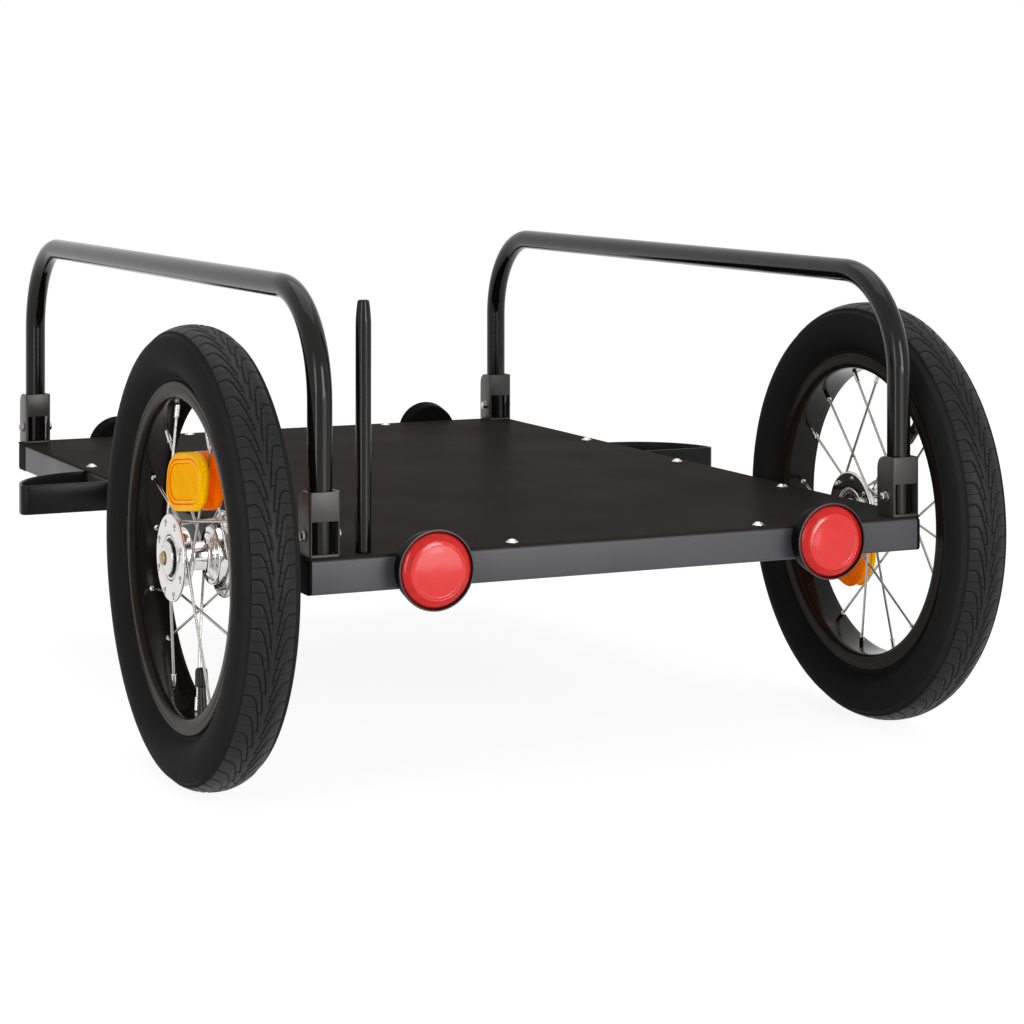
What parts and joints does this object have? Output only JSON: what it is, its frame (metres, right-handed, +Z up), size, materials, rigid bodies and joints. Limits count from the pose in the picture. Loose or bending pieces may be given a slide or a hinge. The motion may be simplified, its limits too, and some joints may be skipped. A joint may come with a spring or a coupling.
{
  "type": "bicycle trailer",
  "caption": "Flat-bed bicycle cargo trailer with spoked wheels on stub axles, a taut cloth deck on a square-tube frame, tubular side hoops and round reflectors.",
  "frame": {"origin": "on the ground, under the middle of the trailer's outline, with the deck level", "axes": "+X to the trailer's right, +Y forward to the bicycle, +Z up"},
  "size_m": [0.801, 1.0178, 0.4595],
  "materials": {
    "powder_grey": "satin dark grey powder coat",
    "black_plastic": "moulded black plastic",
    "deck_cloth": "taut coated cloth, warm black",
    "gloss_black_steel": "gloss black coat",
    "guard_black": "black strip",
    "zinc_steel": "zinc plated",
    "chrome": "bright plated",
    "bearing_steel": "dark sealed bearing",
    "tyre_rubber": "black tyre rubber",
    "valve_rubber": "black rubber",
    "rim_black": "gloss black coat on aluminium",
    "red_lens": "red reflector lens",
    "clear_lens": "clear reflector lens",
    "amber_lens": "amber reflector lens"
  },
  "bodies": {
    "frame": {"left_side_rail": "powder_grey", "right_side_rail": "powder_grey", "rear_rail": "powder_grey", "front_rail": "powder_grey", "rear_left_end_plug": "black_plastic", "rear_right_end_plug": "black_plastic", "front_left_end_plug": "black_plastic", "front_right_end_plug": "black_plastic", "axle_cross_tube": "powder_grey", "centre_cross_member": "powder_grey", "drawbar_receiver": "powder_grey", "deck_cover": "deck_cloth", "left_wheel_guard": "guard_black", "right_wheel_guard": "guard_black", "left_hoop": "gloss_black_steel", "right_hoop": "gloss_black_steel", "flag_pole_socket": "gloss_black_steel", "rear_left_bracket": "gloss_black_steel", "rear_left_bolt": "zinc_steel", "rear_left_reflector_housing": "black_plastic", "rear_left_reflector_lens": "red_lens", "rear_right_bracket": "gloss_black_steel", "rear_right_bolt": "zinc_steel", "rear_right_reflector_housing": "black_plastic", "rear_right_reflector_lens": "red_lens", "front_left_bracket": "gloss_black_steel", "front_left_bolt": "zinc_steel", "front_left_reflector_housing": "black_plastic", "front_left_reflector_lens": "clear_lens", "front_right_bracket": "gloss_black_steel", "front_right_bolt": "zinc_steel", "front_right_reflector_housing": "black_plastic", "front_right_reflector_lens": "clear_lens", "left_stub_axle": "zinc_steel", "left_axle_bush": "zinc_steel", "right_stub_axle": "zinc_steel", "right_axle_bush": "zinc_steel"},
    "left_wheel": {"left_tyre": "tyre_rubber", "left_rim": "rim_black", "left_hub": "chrome", "left_outer_spokes": "chrome", "left_inner_spokes": "chrome", "left_outer_bearing": "bearing_steel", "left_inner_bearing": "bearing_steel", "left_spoke_reflector_outer_shell": "amber_lens", "left_spoke_reflector_inner_shell": "amber_lens", "left_valve": "valve_rubber"},
    "left_button": {"left_release_button": "chrome"},
    "right_wheel": {"right_tyre": "tyre_rubber", "right_rim": "rim_black", "right_hub": "chrome", "right_outer_spokes": "chrome", "right_inner_spokes": "chrome", "right_outer_bearing": "bearing_steel", "right_inner_bearing": "bearing_steel", "right_spoke_reflector_outer_shell": "amber_lens", "right_spoke_reflector_inner_shell": "amber_lens", "right_valve": "valve_rubber"},
    "right_button": {"right_release_button": "chrome"}
  },
  "joints": [
    {"name": "left_wheel_spin", "type": "hinge", "parent": "frame", "child": "left_wheel", "pos_m": [-0.3518, -0.3029, 0.206], "axis": [1, 0, 0], "continuous": true},
    {"name": "left_button_press", "type": "slide", "parent": "frame", "child": "left_button", "axis": [1, 0, 0], "range_m": [0, 0.003], "stiffness_N_per_m": 400, "springref_m": -0.002},
    {"name": "right_wheel_spin", "type": "hinge", "parent": "frame", "child": "right_wheel", "pos_m": [0.3518, -0.3029, 0.206], "axis": [1, 0, 0], "continuous": true},
    {"name": "right_button_press", "type": "slide", "parent": "frame", "child": "right_button", "axis": [-1, 0, 0], "range_m": [0, 0.003], "stiffness_N_per_m": 400, "springref_m": -0.002}
  ]
}
